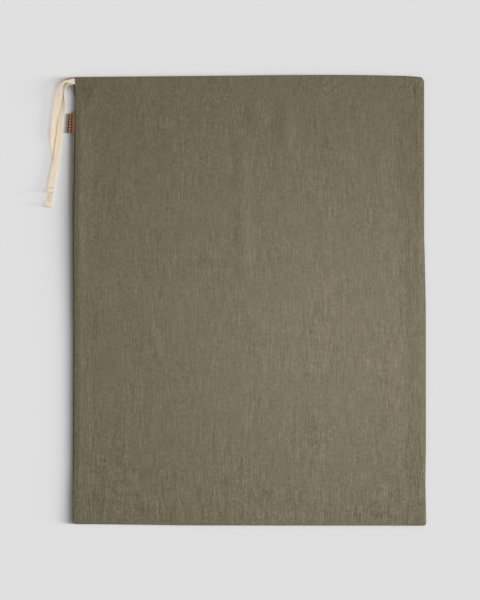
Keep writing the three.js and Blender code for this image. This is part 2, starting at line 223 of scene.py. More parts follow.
FRONT_PROFILE = [
    sewn_row(2, 0.0003, FRONT_EDGE),
    sewn_row(4, 0.0007, FRONT_EDGE),
    sewn_row(7, 0.0030, FRONT_EDGE),
    sewn_row(10, 0.0160, FRONT_EDGE),
    sewn_row(50, 0.0520, FRONT_EDGE),
    sewn_row(50, 0.3300, FRONT_EDGE),
    sewn_row(12, 0.6000, FRONT_EDGE),
    easing_row(7, 0.0600, FRONT_EDGE, 0),
    easing_row(5, 0.0420, FRONT_EDGE, 0.35),
    easing_row(4, 0.0310, 0.0058, 0.8),
    hem_row(4, 0.0245, 0.0061),
    hem_row(4, CASING_DEPTH, FRONT_STITCHED),
    hem_row(4, 0.0150, 0.0076),
    hem_row(3, 0.0080, FRONT_OUTER),
    hem_row(2, 0.0040, FRONT_OUTER, 0.9, 0.0011),
    *fold_rows(FRONT_OUTER, FRONT_INNER),
    hem_row(4, 0.0080, FRONT_INNER, 0, HEM_END_INSET),
    hem_row(1, HEM_DEPTH, FRONT_INNER, 0, HEM_END_INSET),
]


def all_rows(profile):
    """The rows of a profile and those between them, on smooth lines through it."""
    numbered = [row | {"step": step} for step, row in enumerate(profile)]
    lines = {name: smooth_line(numbered, "step", name) for name in profile[0]}
    steps = [row["step"] + cell / row["cells"] for row in numbered for cell in range(row["cells"])]
    last = len(profile) - 1
    places = [step for step in steps if step < last] + [last]
    return [{"step": place} | {name: line(place) for name, line in lines.items()} for place in places]


def all_columns(edge, middle_cells):
    """Places across a panel, close over its rolled sides and even between them."""
    stops = [(row["inset"], row["cells"]) for row in edge]
    insets = [
        lerp(start, end, cell / cells)
        for (start, cells), (end, _) in zip(stops, stops[1:])
        for cell in range(cells)
    ]
    left = [inset - BAG_WIDTH / 2 for inset in insets]
    reach = BAG_WIDTH / 2 - stops[-1][0]
    middle = [lerp(-reach, reach, cell / middle_cells) for cell in range(middle_cells + 1)]
    return [*left, *middle, *(-x for x in reversed(left))]


# Soft creases left by folding and pressing, ridges or troughs, from one end to the other.
CREASES = table(
    "from_x from_y to_x to_y width height",
    (-0.013, 0.262, -0.010, 0.010, 0.012, 0.0014),
    (0.004, -0.085, 0.005, -0.240, 0.008, -0.0009),
    (-0.158, -0.030, -0.134, -0.112, 0.006, 0.0010),
    (0.054, 0.330, 0.058, 0.225, 0.011, 0.0018),
    (-0.030, 0.262, -0.028, 0.190, 0.007, -0.0008),
    (0.016, 0.332, 0.012, 0.270, 0.012, 0.0009),
    (0.116, 0.250, 0.176, 0.180, 0.009, 0.0010),
    (0.118, 0.135, 0.112, 0.070, 0.006, 0.0007),
    (0.224, 0.310, 0.234, -0.050, 0.014, -0.0012),
    (0.222, -0.070, 0.228, -0.170, 0.012, -0.0008),
    (0.242, 0.130, 0.245, -0.300, 0.012, -0.0014),
    (-0.196, -0.140, -0.194, -0.250, 0.006, 0.0007),
    (-0.215, -0.262, -0.120, -0.306, 0.016, -0.0012),
)
# Broad waves, by their lengths across and along the bag.
WAVES = table(
    "across along phase height", (0.430, 0.900, 0.6, 0.00035), (-0.260, 0.520, 2.1, 0.00025)
)
# Puckers that the stitching draws in: their length along the seam, their height and their lean.
CASING_PUCKERS = {"length": 0.0085, "height": 0.00060, "lean": 0.4, "seed": 3.7}
SIDE_PUCKERS = {"length": 0.0150, "height": 0.00030, "lean": 0, "seed": 11.3}
BOTTOM_PUCKERS = {"length": 0.0110, "height": 0.00060, "lean": 0.2, "seed": 23.9}
# The bottom seam puckers less to the right: what is left there, and where that starts and ends.
BOTTOM_EASED = 0.35
BOTTOM_EASES = (-0.1, 0.1)
# A tuck at the right-hand end of the casing, where the stitching starts.
TUCK = {"from_x": 0.2556, "from_y": 0.3352, "to_x": 0.2574, "to_y": 0.3210}
TUCK |= {"width": 0.0013, "height": -0.0027}
# How much of the puckers is left away from the casing's stitches and from the other seams.
CASING_REACH = table(
    "down share", (0, 0.3), (0.006, 0.8), (0.014, 1), (0.019, 0.3), (0.025, 0.9), (0.06, 0)
)
EDGE_REACH = table("inset share", (0, 0.2), (0.006, 1), (0.020, 0.6), (0.045, 0))
casing_share = smooth_line(CASING_REACH, "down", "share")
edge_share = smooth_line(EDGE_REACH, "inset", "share")
# The unevenness of washed linen, by the size of its lumps.
LUMPS = table("across along height seed", (0.060, 0.060, 0.00022, 4.1), (0.024, 0.110, 0.00020, 5.7))


def pucker(kind, along, out):
    """Height of the puckers at a place along a seam and out from it."""
    place = (along - kind["lean"] * out) / kind["length"]
    return kind["height"] * noise.noise((place, kind["seed"], 0))


def fold_line(crease, x, y):
    """Height of a soft ridge or trough from one place to another, fading at its ends."""
    run_x = crease["to_x"] - crease["from_x"]
    run_y = crease["to_y"] - crease["from_y"]
    length = math.hypot(run_x, run_y)
    place_x = x - crease["from_x"]
    place_y = y - crease["from_y"]
    share = min(max((place_x * run_x + place_y * run_y) / length**2, 0), 1)
    off = (place_x * run_y - place_y * run_x) / length / crease["width"]
    return crease["height"] * math.exp(-off * off) * math.sqrt(math.sin(math.pi * share))


def creased(x, y):
    """Height that the creases, waves and lumps add at a place on the front panel."""
    height = sum(fold_line(crease, x, y) for crease in CREASES)
    for wave in WAVES:
        turns = x / wave["across"] + y / wave["along"]
        height += wave["height"] * math.sin(2 * math.pi * turns + wave["phase"])
    for lump in LUMPS:
        place = (x / lump["across"], y / lump["along"], lump["seed"])
        height += lump["height"] * noise.noise(place)
    return height


def puckered(x, y, inset, up):
    """Height that the puckers along the casing, the sides and the bottom add."""
    down = top_y(x) - y
    height = casing_share(down) * pucker(CASING_PUCKERS, x, -down)
    height += edge_share(inset) * pucker(SIDE_PUCKERS, y + math.copysign(BAG_LENGTH, x), inset)
    fullness = lerp(1, BOTTOM_EASED, ease(x, *BOTTOM_EASES))
    return height + fullness * edge_share(up) * pucker(BOTTOM_PUCKERS, x, up)


def round_corner(point, edge_x, edge_y):
    """Takes the square at a corner of the plan to a quarter of a disc."""
    out_x = math.copysign(CORNER_RADIUS, edge_x)
    out_y = math.copysign(CORNER_RADIUS, edge_y)
    a = (point.x - edge_x) / out_x + 1
    b = (point.y - edge_y) / out_y + 1
    if a > 0 and b > 0:
        point.x = edge_x + out_x * (a * math.sqrt(1 - b * b / 2) - 1)
        point.y = edge_y + out_y * (b * math.sqrt(1 - a * a / 2) - 1)


def panel_kind(side, bottom, sag, seam_offset, overhang, outer_steps):
    """A panel's own lines; outer_steps is the number of its rows that show on the front."""
    columns = ("rise", "droop", "bulge", "dip", "open")
    kind = {name: smooth_line(side, "inset", name) for name in columns}
    kind |= {"foot": smooth_line(bottom, "inset", "rise"), "sag": smooth_line(sag, "inset", "height")}
    return kind | {"seam_offset": seam_offset, "overhang": overhang, "outer_steps": outer_steps}


def panel_point(kind, x, row):
    """Where a place across and up a panel lies on the finished bag."""
    inset = BAG_WIDTH / 2 - abs(x)
    up = BAG_LENGTH / 2 + row["y"]
    at_side = inset < RIDGE
    unsewn = 1 - row["left" if x < 0 else "right"] if at_side else 0
    laid = lerp(inset, kind["open"](inset), unsewn) if at_side else inset
    left = left_x(row["y"])
    right = right_x(row["y"]) - row["short"]
    point = Vector((0, 0, 0))
    point.x = lerp(left, right, math.copysign(0.5 - laid / BAG_WIDTH, x) + 0.5)
    bottom = bottom_y(point.x)
    point.y = lerp(bottom, top_y(point.x), up / BAG_LENGTH)

    droop = kind["droop"](inset) if x < 0 else 0
    side = lerp(kind["rise"](inset) - droop, 1, unsewn)
    sag = lerp(kind["sag"](inset), 1, row["flat"])
    rise = min(side, kind["foot"](up)) * sag
    low = left_low(row["y"]) if x < 0 else 0
    sunk = low * (1 - ease(inset, *LOOSE_FROM_SIDE)) if kind["outer_steps"] else 0
    point.z = lerp(row["seam"] + kind["seam_offset"] - low, row["height"] - sunk, rise)
    if kind["outer_steps"]:
        point.z += fold_line(TUCK, point.x, point.y)
    if row["step"] < kind["outer_steps"]:
        loose = (1 - row["flat"]) * ease(inset, *LOOSE_FROM_SIDE) * ease(up, *LOOSE_FROM_BOTTOM)
        point.z += loose * creased(point.x, point.y)
        point.z += puckered(point.x, point.y, inset, up)

    if x < 0 and at_side:
        peek = left_peek(row["y"])
        open_bulge = kind["overhang"] * (1 - laid / RIDGE)
        point.x -= peek * lerp(kind["bulge"](inset), open_bulge, unsewn)
        point.z -= min(peek, DEEPEST_DIP) * (1 - unsewn) * kind["dip"](inset)
    round_corner(point, right, bottom)
    round_corner(point, left, bottom)
    return point


# Corners closer than this become one.
WELD = 1e-6


def sheet_mesh(columns, rows, thickness, place, ring=False):
    """A closed sheet, half its thickness on either side of a middle surface."""
    sheet = bmesh.new()
    sheet.loops.layers.uv.new("UVMap")
    across = len(columns) - 1
    along = len(rows) - 1
    bmesh.ops.create_grid(sheet, x_segments=across, y_segments=along, size=1, calc_uvs=True)
    for corner in sheet.verts:
        column = columns[round((corner.co.x + 1) / 2 * across)]
        row = rows[round((corner.co.y + 1) / 2 * along)]
        corner.co = place(column, row)
    if ring:
        bmesh.ops.remove_doubles(sheet, verts=sheet.verts[:], dist=WELD)
    sheet.normal_update()
    for corner in sheet.verts:
        corner.co += corner.normal * thickness / 2
    bmesh.ops.solidify(sheet, geom=sheet.faces[:], thickness=thickness)
    return sheet


bag = bpy.data.collections.new("bag")
bpy.context.scene.collection.children.link(bag)
sewn = bpy.data.collections.new("sewn")
bpy.context.scene.collection.children.link(sewn)
SHARP_EDGE = math.radians(50)


def make_piece(name, shape, material, group):
    """A mesh object at the origin, smooth but for its sharp edges."""
    mesh = bpy.data.meshes.new(name)
    shape.to_mesh(mesh)
    shape.free()
    mesh.shade_smooth()
    mesh.set_sharp_from_angle(angle=SHARP_EDGE)
    mesh.materials.append(material)
    piece = bpy.data.objects.new(name, mesh)
    bag.objects.link(piece)
    group.objects.link(piece)
    return piece


def linear(colour):
    """An sRGB hex colour as linear red, green, blue and alpha."""
    parts = [int(colour[i : i + 2], 16) / 255 for i in (1, 3, 5)]
    return [*(p / 12.92 if p <= 0.04045 else ((p + 0.055) / 1.055) ** 2.4 for p in parts), 1]


def new_material(name):
    """A material with its nodes, and the shader that every finish sets."""
    material = bpy.data.materials.new(name)
    material.use_nodes = True
    return material, material.node_tree.nodes["Principled BSDF"]


def add_node(material, kind, sockets, **settings):
    """A node with its settings, each socket given a value or linked to another node's output."""
    made = material.node_tree.nodes.new(kind)
    for name, value in settings.items():
        setattr(made, name, value)
    for socket, value in sockets.items():
        if isinstance(value, bpy.types.NodeSocket):
            material.node_tree.links.new(value, made.inputs[socket])
        else:
            made.inputs[socket].default_value = value
    return made


# Slub linen, plain woven from uneven flax yarn and washed. The eye sees short lighter and
# darker streaks where thick and thin yarns run, most of them along the bag, and no gloss.
# The true threads are 0.6 mm apart, so the slubs are drawn about two threads wide.
LINEN_DARK = "#585140"
LINEN = "#6f6752"
LINEN_LIGHT = "#887e65"
SLUBS = table(
    "width length weight",
    (0.0008, 0.0056, 0.38),
    (0.0008, 0.0290, 0.37),
    (0.0110, 0.0010, 0.18),
    (0.0080, 0.0700, 0.04),
    (0.0600, 0.0070, 0.03),
)
# Patches where the slubs show less or more, from the ends of their noise.
PATCH = 0.080
PATCH_NOISE = (0.35, 0.65)
PATCH_STRENGTH = (0.86, 1.34)
# Where the weave's noise is darkest, even and lightest.
WEAVE_DARK = 0.20
WEAVE_EVEN = 0.5
WEAVE_LIGHT = 0.80
# How much stronger the slubs show towards the bottom and the sides, where the cloth is less
# pressed, partly as painted shade and highlights of its crinkles: the share, and the places where
# that starts and is full.
SLUBS_AND_CRINKLE_SHADE_BY_BOTTOM = (0.62, -0.180, -0.335)
SLUBS_AND_CRINKLE_SHADE_BY_SIDE = (0.15, 0.150, 0.260)
SLUB_RELIEF = 0.00035
SLUB_BUMP = 0.5
LINEN_ROUGHNESS = 0.92
CLOTH_SPECULAR = 0.2


def slub_linen():
    material, shader = new_material("washed_slub_linen")
    place = add_node(material, "ShaderNodeTexCoord", {}).outputs["Object"]
    weave = 0
    for slub in SLUBS:
        scale = (1 / slub["width"], 1 / slub["length"], 1 / min(slub["width"], slub["length"]))
        scaled = add_node(material, "ShaderNodeMapping", {"Vector": place, "Scale": scale})
        sockets = {"Vector": scaled.outputs["Vector"], "Scale": 1, "Detail": 0}
        thread = add_node(material, "ShaderNodeTexNoise", sockets).outputs["Fac"]
        sockets = {0: thread, 1: slub["weight"], 2: weave}
        weave = add_node(material, "ShaderNodeMath", sockets, operation="MULTIPLY_ADD").outputs[0]
    sockets = {"Vector": place, "Scale": 1 / PATCH, "Detail": 1}
    patch = add_node(material, "ShaderNodeTexNoise", sockets).outputs["Fac"]
    sockets = {"Value": patch, 1: PATCH_NOISE[0], 2: PATCH_NOISE[1]}
    sockets |= {3: PATCH_STRENGTH[0], 4: PATCH_STRENGTH[1]}
    contrast = add_node(material, "ShaderNodeMapRange", sockets).outputs[0]
    parts = add_node(material, "ShaderNodeSeparateXYZ", {"Vector": place})
    off_middle = add_node(material, "ShaderNodeMath", {0: parts.outputs["X"]}, operation="ABSOLUTE")
    # Painted shade and highlights of crinkles: the slubs' contrast grows towards the bottom and the
    # sides.
    slubs_and_crinkle_shade_by_place = ((parts.outputs["Y"], SLUBS_AND_CRINKLE_SHADE_BY_BOTTOM), (off_middle.outputs[0], SLUBS_AND_CRINKLE_SHADE_BY_SIDE))
    for spot, (share, start, full) in slubs_and_crinkle_shade_by_place:
        sockets = {"Value": spot, 1: start, 2: full, 3: 0, 4: share}
        near = add_node(material, "ShaderNodeMapRange", sockets).outputs[0]
        contrast = add_node(material, "ShaderNodeMath", {0: contrast, 1: near}).outputs[0]
    off = add_node(material, "ShaderNodeMath", {0: weave, 1: WEAVE_EVEN}, operation="SUBTRACT")
    sockets = {0: off.outputs[0], 1: contrast, 2: WEAVE_EVEN}
    uneven = add_node(material, "ShaderNodeMath", sockets, operation="MULTIPLY_ADD")
    ramp = add_node(material, "ShaderNodeValToRGB", {"Fac": uneven.outputs[0]})
    ramp.color_ramp.elements[0].position = WEAVE_DARK
    ramp.color_ramp.elements[0].color = linear(LINEN_DARK)
    ramp.color_ramp.elements[1].position = WEAVE_LIGHT
    ramp.color_ramp.elements[1].color = linear(LINEN_LIGHT)
    ramp.color_ramp.elements.new(WEAVE_EVEN).color = linear(LINEN)
    sockets = {"Strength": SLUB_BUMP, "Distance": SLUB_RELIEF, "Height": weave}
    bump = add_node(material, "ShaderNodeBump", sockets)
    links = material.node_tree.links
    links.new(ramp.outputs["Color"], shader.inputs["Base Color"])
    links.new(bump.outputs["Normal"], shader.inputs["Normal"])
    shader.inputs["Roughness"].default_value = LINEN_ROUGHNESS
    shader.inputs["Specular IOR Level"].default_value = CLOTH_SPECULAR
    return material


linen = slub_linen()
FRONT_COLUMNS = table(
    "inset cells", (0.0003, 2), (0.0005, 3), (0.0012, 6), (0.0080, 14), (0.0220, 11), (0.0500, 0)
)
FRONT_CELLS = 150
FRONT_OUTER_STEPS = 15
front = panel_kind(FRONT_SIDE, FRONT_BOTTOM, FRONT_SAG, SEWN_GAP, 0, FRONT_OUTER_STEPS)
front_panel = make_piece(
    "front_panel_cloth",
    sheet_mesh(
        all_columns(FRONT_COLUMNS, FRONT_CELLS),
        all_rows(FRONT_PROFILE),
        CLOTH,
        lambda x, row: panel_point(front, x, row),
    ),
    linen,
    sewn,
)
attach(front_panel, "root")
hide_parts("front_panel")


# Back panel.
# The other cut of the same linen, flat on the surface under the front. Its hem is turned in
# the same way, and along the left-hand seam it shows as a narrow strip, wider higher up.

BACK_OUTER = 0.0005
BACK_INNER = 0.0035
BACK_STITCHED = 0.0018
BACK_SIDE = table(
    "inset rise droop bulge dip open",
    (0.0005, 0, 0, 0.3, 0.2, 0),
    (0.0008, 0.10, 0, 1, 0, 0.0008),
    (0.0014, 0.84, 0, 0.9, 0, 0.0017),
    (0.0028, 1, 0, 0.62, 0, 0.0032),
    (0.0080, 1, 0, 0, 0, 0.0080),
)
BACK_SAG = table("inset height", (0.008, 1), (0.050, 1))
BACK_PROFILE = [
    sewn_row(2, 0.0005, BACK_OUTER),
    sewn_row(2, 0.0008, BACK_OUTER),
    sewn_row(3, 0.0014, BACK_OUTER),
    sewn_row(4, 0.0028, BACK_OUTER),
    sewn_row(90, 0.0080, BACK_OUTER),
    easing_row(5, 0.0600, BACK_OUTER, 0),
    easing_row(4, 0.0420, BACK_OUTER, 0.35),
    easing_row(3, 0.0310, BACK_OUTER, 0.8),
    hem_row(5, 0.0245, BACK_OUTER),
    hem_row(3, 0.0080, BACK_OUTER),
    hem_row(2, 0.0040, BACK_OUTER, 0.9, 0.0011),
    *fold_rows(BACK_OUTER, BACK_INNER),
    hem_row(3, 0.0080, BACK_INNER, 0, HEM_END_INSET),
    hem_row(3, 0.0150, BACK_INNER, 0, HEM_END_INSET),
    hem_row(2, CASING_DEPTH, BACK_STITCHED, 0, HEM_END_INSET),
    hem_row(1, HEM_DEPTH, BACK_STITCHED, 0, HEM_END_INSET),
]
BACK_COLUMNS = table(
    "inset cells", (0.0005, 2), (0.0008, 2), (0.0014, 3), (0.0028, 4), (0.0080, 0)
)
BACK_CELLS = 90
back = panel_kind(BACK_SIDE, BACK_SIDE, BACK_SAG, -SEWN_GAP, 1, 0)
back_panel = make_piece(
    "back_panel_cloth",
    sheet_mesh(
        all_columns(BACK_COLUMNS, BACK_CELLS),
        all_rows(BACK_PROFILE),
        CLOTH,
        lambda x, row: panel_point(back, x, row),
    ),
    linen,
    sewn,
)
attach(back_panel, "root")
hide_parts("back_panel")


# Casing stitches.
# A row of lockstitch in thread of the cloth's own colour, sewn through each panel and its
# turned-in top, so that the casing is closed below and stays open at its left-hand end.

STITCH = Vector((0.0026, 0.0006, 0.0005))
STITCH_PITCH = 0.0032
STITCH_INSET = 0.003
STITCH_SIDES = {"u_segments": 6, "v_segments": 5}
front_row = hem_row(1, CASING_DEPTH, FRONT_STITCHED) | {"step": 0}
back_row = hem_row(1, CASING_DEPTH, BACK_OUTER) | {"step": 0}
stitch = bmesh.new()
bmesh.ops.create_uvsphere(stitch, **STITCH_SIDES, radius=1, matrix=Matrix.Diagonal((*STITCH / 2, 1)))
stitch_mesh = bpy.data.meshes.new("stitch")
stitches = bmesh.new()
stitch_reach = BAG_WIDTH / 2 - STITCH_INSET
stitch_count = int(2 * stitch_reach / STITCH_PITCH)
for number in range(stitch_count + 1):
    x = number * STITCH_PITCH - stitch_reach
    outside = panel_point(front, x, front_row) + Vector((0, 0, CLOTH / 2))
    underside = panel_point(back, x, back_row) - Vector((0, 0, CLOTH / 4))
    for place in (outside, underside):
        bmesh.ops.translate(stitch, verts=stitch.verts[:], vec=place)
        stitch.to_mesh(stitch_mesh)
        stitches.from_mesh(stitch_mesh)
        bmesh.ops.translate(stitch, verts=stitch.verts[:], vec=-place)
casing_stitches = make_piece("casing_stitches", stitches, linen, sewn)
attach(casing_stitches, "root")


# Label.
# A strip of close-woven ribbon caught in the left-hand seam, leaning down towards the surface.
# Its face is maroon with a lighter selvedge by the seam and a plain row of gold bars.

LABEL = 0.0008
LABEL_LENGTH = 0.0305
LABEL_TOP = 0.2918
LABEL_LEAN = 0.0024
LABEL_SECTION = table(
    "out z",
    (0.00035, 0.00385),
    (0.0026, 0.00385),
    (0.0042, 0.00345),
    (0.0070, 0.0027),
    (0.0096, 0.0019),
)
LABEL_MAROON = "#5b2a1c"
LABEL_SELVEDGE = "#80543f"
LABEL_GOLD = "#d39c42"
LABEL_ROUGHNESS = 0.6
# Shares of the ribbon's width: where the selvedge ends, and the middle and half the width of
# the row of bars. A bar's edges are shares of half the distance from one bar to the next.
SELVEDGE_END = (0.40, 0.46)
BAR_ROW = 0.72
BAR_HALF = 0.11
BAR_EDGES = (0.30, 0.55)
GOLD_BARS = 7
LABEL_CELLS = 16
LABEL_ROWS = 40
label_z = smooth_line(LABEL_SECTION, "out", "z")
label_reach = LABEL_SECTION[-1]["out"]


def label_point(out, along):
    """A place on the label, out from the seam and up along it."""
    y = LABEL_TOP - LABEL_LENGTH * (1 - along)
    lean = LABEL_LEAN * (1 - along) * out / label_reach
    return Vector((left_x(y) - out - lean, y, label_z(out)))


# Polyester ribbon, woven close as satin. The eye sees a dense, even face with a slight sheen.
def woven_ribbon():
    material, shader = new_material("satin_woven_ribbon")
    weave_place = add_node(material, "ShaderNodeUVMap", {}, uv_map="UVMap").outputs["UV"]
    parts = add_node(material, "ShaderNodeSeparateXYZ", {"Vector": weave_place})
    out, along = parts.outputs["X"], parts.outputs["Y"]
    sockets = {"Value": out, 1: SELVEDGE_END[0], 2: SELVEDGE_END[1], 3: 1, 4: 0}
    selvedge = add_node(material, "ShaderNodeMapRange", sockets)
    bars = add_node(material, "ShaderNodeMath", {0: along, 1: 2 * GOLD_BARS}, operation="MULTIPLY")
    bar = add_node(material, "ShaderNodeMath", {0: bars.outputs[0], 1: 1}, operation="PINGPONG")
    sockets = {"Value": bar.outputs[0], 1: BAR_EDGES[0], 2: BAR_EDGES[1]}
    in_bar = add_node(material, "ShaderNodeMapRange", sockets)
    sockets = {0: out, 1: BAR_ROW, 2: BAR_HALF}
    in_row = add_node(material, "ShaderNodeMath", sockets, operation="COMPARE")
    sockets = {0: in_bar.outputs[0], 1: in_row.outputs[0]}
    gold = add_node(material, "ShaderNodeMath", sockets, operation="MULTIPLY")
    ground = add_node(material, "ShaderNodeMix", {}, data_type="RGBA")
    face = add_node(material, "ShaderNodeMix", {}, data_type="RGBA")
    links = material.node_tree.links
    links.new(selvedge.outputs[0], ground.inputs[0])
    ground.inputs[6].default_value = linear(LABEL_MAROON)
    ground.inputs[7].default_value = linear(LABEL_SELVEDGE)
    links.new(gold.outputs[0], face.inputs[0])
    links.new(ground.outputs[2], face.inputs[6])
    face.inputs[7].default_value = linear(LABEL_GOLD)
    links.new(face.outputs[2], shader.inputs["Base Color"])
    shader.inputs["Roughness"].default_value = LABEL_ROUGHNESS
    return material


label_columns = [label_reach * cell / LABEL_CELLS for cell in range(LABEL_CELLS + 1)]
label_columns[0] = LABEL_SECTION[0]["out"]
label = make_piece(
    "woven_label",
    sheet_mesh(
        label_columns,
        [1 - row / LABEL_ROWS for row in range(LABEL_ROWS + 1)],
        LABEL,
        label_point,
    ),
    woven_ribbon(),
    sewn,
)
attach(label, "root")
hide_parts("label")


# Knot and tails of the drawstring.
# The drawstring is one flat cotton tape, woven with lengthwise ribs. Its ends are tied in an
# overhand knot, which shows as a band drawn round them, and below it the cut tails spread.

TAPE = 0.0010
TAPE_WIDTH = 0.0100
TAPE_CROWN = 0.00012
TAPE_RIBS = 3
RIB_HEIGHT = 0.00005
TAIL_CELLS = 40
BAND_CELLS = 16
BAND_ROUND = 64
KNOT = Vector((-0.3102, 0.1718, 0.0031))
KNOT_WIDTH = 0.0116
KNOT_LENGTH = 0.0054
KNOT_HEIGHT = 0.0055
KNOT_SLANT = 0.06
KNOT_LEAN = 0.07
KNOT_SQUARENESS = 0.30
KNOT_EDGE_IN = 0.0005
UPPER_TAIL = table(
    "x y z turn width",
    (-0.3084, 0.1712, 0.0022, 0, 0.0054),
    (-0.3086, 0.1678, 0.0017, 0, 0.0048),
    (-0.3088, 0.1660, 0.0026, 8, 0.0049),
    (-0.3093, 0.1628, 0.0029, 12, 0.0052),
    (-0.3106, 0.1590, 0.0027, 12, 0.0060),
    (-0.3130, 0.1558, 0.0022, 10, 0.0066),
    (-0.3148, 0.1536, 0.0014, 4, 0.0066),
    (-0.3156, 0.1523, 0.0009, 0, 0.0064),
    (-0.3160, 0.1510, 0.0030, 0, 0.0060),
    (-0.3162, 0.1498, 0.0044, 0, 0.0056),
    (-0.3163, 0.1480, 0.0042, 0, 0.0052),
    (-0.3164, 0.1464, 0.0024, 0, 0.0046),
)
LOWER_TAIL = table(
    "x y z turn width",
    (-0.3076, 0.1712, 0.0009, 0, 0.0054),
    (-0.3076, 0.1678, 0.0006, 0, 0.0048),
    (-0.3078, 0.1660, 0.0008, 0, 0.0049),
    (-0.3083, 0.1628, 0.0009, 0, 0.0052),
    (-0.3092, 0.1590, 0.0007, 0, 0.0058),
    (-0.3102, 0.1556, 0.0007, 0, 0.0062),
    (-0.3108, 0.1528, 0.0006, 0, 0.0062),
    (-0.3110, 0.1508, 0.0008, 0, 0.0060),
    (-0.3110, 0.1492, 0.0018, 0, 0.0058),
    (-0.3108, 0.1476, 0.0023, 0, 0.0056),
    (-0.3106, 0.1456, 0.0016, 0, 0.0050),
    (-0.3106, 0.1444, 0.0009, 0, 0.0042),
)


def route_line(route):
    """A route's values as functions of the share of its points that is passed."""
    numbered = [row | {"share": i / (len(route) - 1)} for i, row in enumerate(route)]
    return {name: smooth_line(numbered, "share", name) for name in route[0]}


def route_point(lines, share):
    """The middle of the tape at a share of its route."""
    return Vector([lines[name](share) for name in "xyz"])


def tape_section(across):
    """How far the woven ribs and the crown lift the tape's face, from edge to edge."""
    crown = TAPE_CROWN * (1 - (2 * across) ** 2)
    return crown + RIB_HEIGHT * math.cos(2 * math.pi * TAPE_RIBS * across)


# The share of a route over which its direction is taken.
RUN_STEP = 0.004


def tape_point(lines, across, share):
    """A place across and along a tape, turned about its run, inner edge up if positive."""
    before = route_point(lines, max(share - RUN_STEP, 0))
    run = (route_point(lines, min(share + RUN_STEP, 1)) - before).normalized()
    inward = Vector((0, 0, 1)).cross(run).normalized()
    upward = run.cross(inward)
    turn = math.radians(lines["turn"](share))
    side = inward * math.cos(turn) + upward * math.sin(turn)
    face = upward * math.cos(turn) - inward * math.sin(turn)
    off = across * lines["width"](share)
    return route_point(lines, share) + side * off + face * tape_section(across)


def shares(cells, start=0, end=1):
    return [lerp(start, end, cell / cells) for cell in range(cells + 1)]


def squared(value):
    """A sine or cosine drawn out towards the sides of a square."""
    return math.copysign(abs(value) ** KNOT_SQUARENESS, value)


def band_point(across, share):
    """A place on the band, round the tapes and along them."""
    turn = 2 * math.pi * share
    drawn_in = KNOT_EDGE_IN * (2 * across) ** 4
    x = squared(math.cos(turn)) * ((KNOT_WIDTH - TAPE) / 2 - drawn_in)
    z = squared(math.sin(turn)) * ((KNOT_HEIGHT - TAPE) / 2 - drawn_in)
    return KNOT + Vector((x, across * KNOT_LENGTH + KNOT_SLANT * x, z - KNOT_LEAN * x))


# Unbleached cotton tape, woven flat. The eye sees a warm cream with faint lengthwise streaks
# and no gloss. The true yarns are too fine to show, so a few streaks stand for them: their
# number to the width and to the length of a tape.
YARNS = (4.5, 12, 1)
TAPE_DARK = "#e9d4b6"
TAPE_LIGHT = "#fcead0"
TAPE_STOPS = (0.3, 0.7)
TAPE_ROUGHNESS = 0.88


def cotton_tape():
    material, shader = new_material("unbleached_cotton_tape")
    place = add_node(material, "ShaderNodeUVMap", {}, uv_map="UVMap").outputs["UV"]
    scaled = add_node(material, "ShaderNodeMapping", {"Vector": place, "Scale": YARNS})
    sockets = {"Vector": scaled.outputs["Vector"], "Scale": 1, "Detail": 2}
    fleck = add_node(material, "ShaderNodeTexNoise", sockets).outputs["Fac"]
    ramp = add_node(material, "ShaderNodeValToRGB", {"Fac": fleck})
    for stop, position, colour in zip(ramp.color_ramp.elements, TAPE_STOPS, (TAPE_DARK, TAPE_LIGHT)):
        stop.position = position
        stop.color = linear(colour)
    links = material.node_tree.links
    links.new(ramp.outputs["Color"], shader.inputs["Base Color"])
    shader.inputs["Roughness"].default_value = TAPE_ROUGHNESS
    shader.inputs["Specular IOR Level"].default_value = CLOTH_SPECULAR
    return material


cotton = cotton_tape()
drawstring = bpy.data.collections.new("drawstring")
bpy.context.scene.collection.children.link(drawstring)
TAPE_CELLS = 20
ACROSS = shares(TAPE_CELLS, 0.5, -0.5)
band_across = shares(BAND_CELLS, -0.5, 0.5)
band = sheet_mesh(band_across, shares(BAND_ROUND), TAPE, band_point, ring=True)
knot_band = make_piece("drawstring_knot_band", band, cotton, drawstring)
knot_pieces = [knot_band]
for name, route in (("drawstring_upper_tail", UPPER_TAIL), ("drawstring_lower_tail", LOWER_TAIL)):
    lines = route_line(route)
    tail = sheet_mesh(ACROSS, shares(TAIL_CELLS), TAPE, lambda a, s: tape_point(lines, a, s))
    knot_pieces.append(make_piece(name, tail, cotton, drawstring))
for piece in knot_pieces:
    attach(piece, "root")
    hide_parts("drawstring_knot")


# Free ends of the drawstring.
# The same tape: both ends leave the open end of the casing, turn down beside the bag, cross,
# the inner one on top, and run in under the band of the knot, where their last rows lie.

OUTER_END = table(
    "x y z turn width",
    (-0.2722, 0.3414, 0.0064, 0, 0.0096),
    (-0.2790, 0.3414, 0.0066, 0, 0.0066),
    (-0.2860, 0.3414, 0.0066, 8, 0.0034),
    (-0.2910, 0.3380, 0.0063, 8, 0.0042),
    (-0.2947, 0.3318, 0.0057, 3, 0.0060),
    (-0.2973, 0.3240, 0.0049, 0, 0.0076),
    (-0.2994, 0.3155, 0.0041, 0, 0.0086),
    (-0.3008, 0.3070, 0.0033, 0, 0.0088),
    (-0.3025, 0.2955, 0.0026, -6, 0.0093),
    (-0.3039, 0.2803, 0.0022, -13, 0.0098),
    (-0.3055, 0.2647, 0.0022, -14, TAPE_WIDTH),
    (-0.3057, 0.2490, 0.0014, -8, TAPE_WIDTH),
    (-0.3042, 0.2330, 0.0009, 0, TAPE_WIDTH),
    (-0.3025, 0.2170, 0.0009, 0, TAPE_WIDTH),
    (-0.3044, 0.2010, 0.0009, 0, TAPE_WIDTH),
    (-0.3072, 0.1870, 0.0010, 0, TAPE_WIDTH),
    (-0.3092, 0.1768, 0.0012, 0, 0.0094),
    (-0.3095, 0.1748, 0.0007, 0, 0.0088),
    (-0.3098, 0.1722, 0.0006, 0, 0.0080),
)
